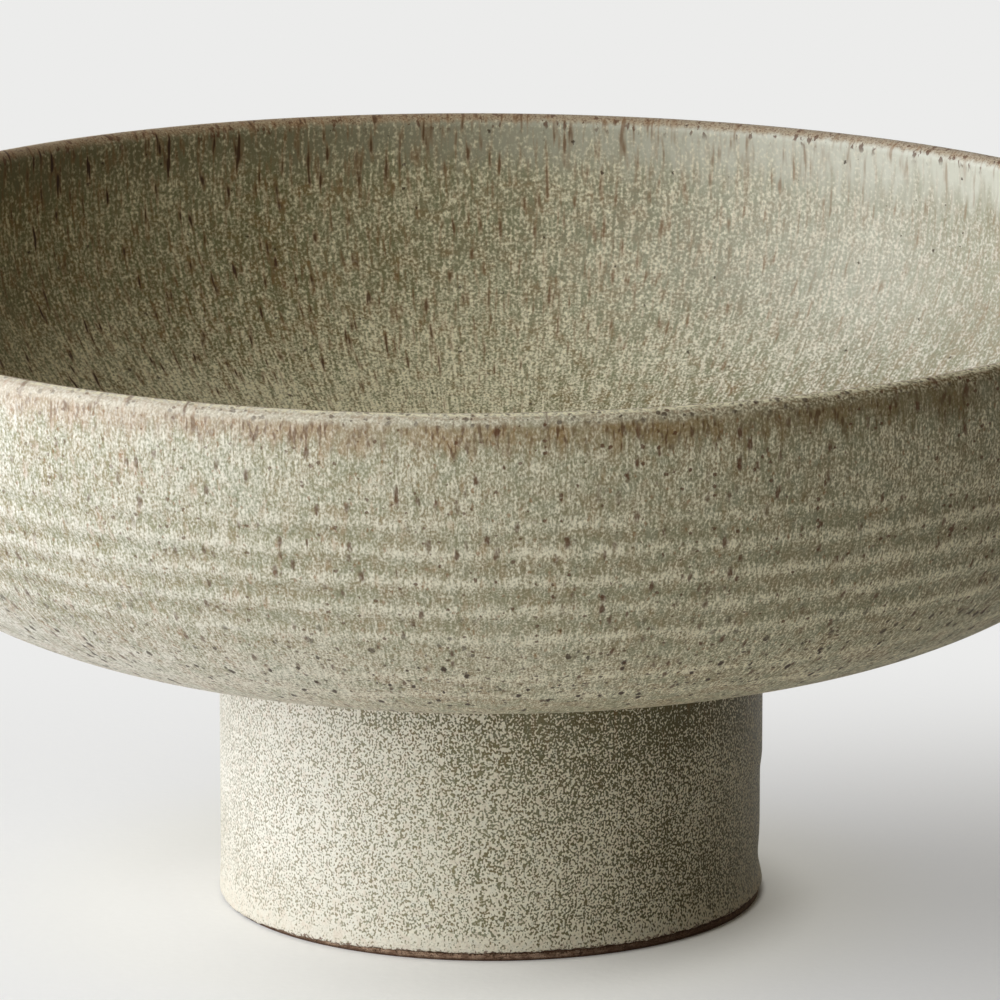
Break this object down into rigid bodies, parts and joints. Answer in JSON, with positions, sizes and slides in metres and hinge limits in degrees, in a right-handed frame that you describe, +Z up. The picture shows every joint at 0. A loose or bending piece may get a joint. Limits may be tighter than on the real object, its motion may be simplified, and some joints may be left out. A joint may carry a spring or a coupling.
{
  "type": "footed compote bowl",
  "caption": "Wide shallow stoneware bowl on a short hollow cylindrical foot, with a speckled sage glaze and a bare clay base edge, for serving fruit or as a table centrepiece.",
  "frame": {"origin": "centre of the foot's base, on the surface that the bowl stands on", "axes": "+Z up along the common axis of the bowl and the foot"},
  "size_m": [0.308, 0.308, 0.141],
  "materials": {
    "stoneware_clay": "bare fired stoneware with dark iron specks",
    "joining_slip": "bare fired slip, wiped smooth",
    "liner_glaze": "satin sage glaze with fine cream crystals and brown runs, thin and brown on the lip",
    "bowl_glaze": "satin sage glaze with dense cream speckle, iron specks and throwing rings, thin and brown on the lip",
    "foot_glaze": "satin sage glaze with crisp cream dots and a smooth rolled edge"
  },
  "bodies": {
    "root": {"bowl": "stoneware_clay", "pedestal_foot": "stoneware_clay", "joining_slip": "joining_slip", "liner_glaze": "liner_glaze", "bowl_glaze": "bowl_glaze", "foot_glaze": "foot_glaze"}
  },
  "joints": []
}
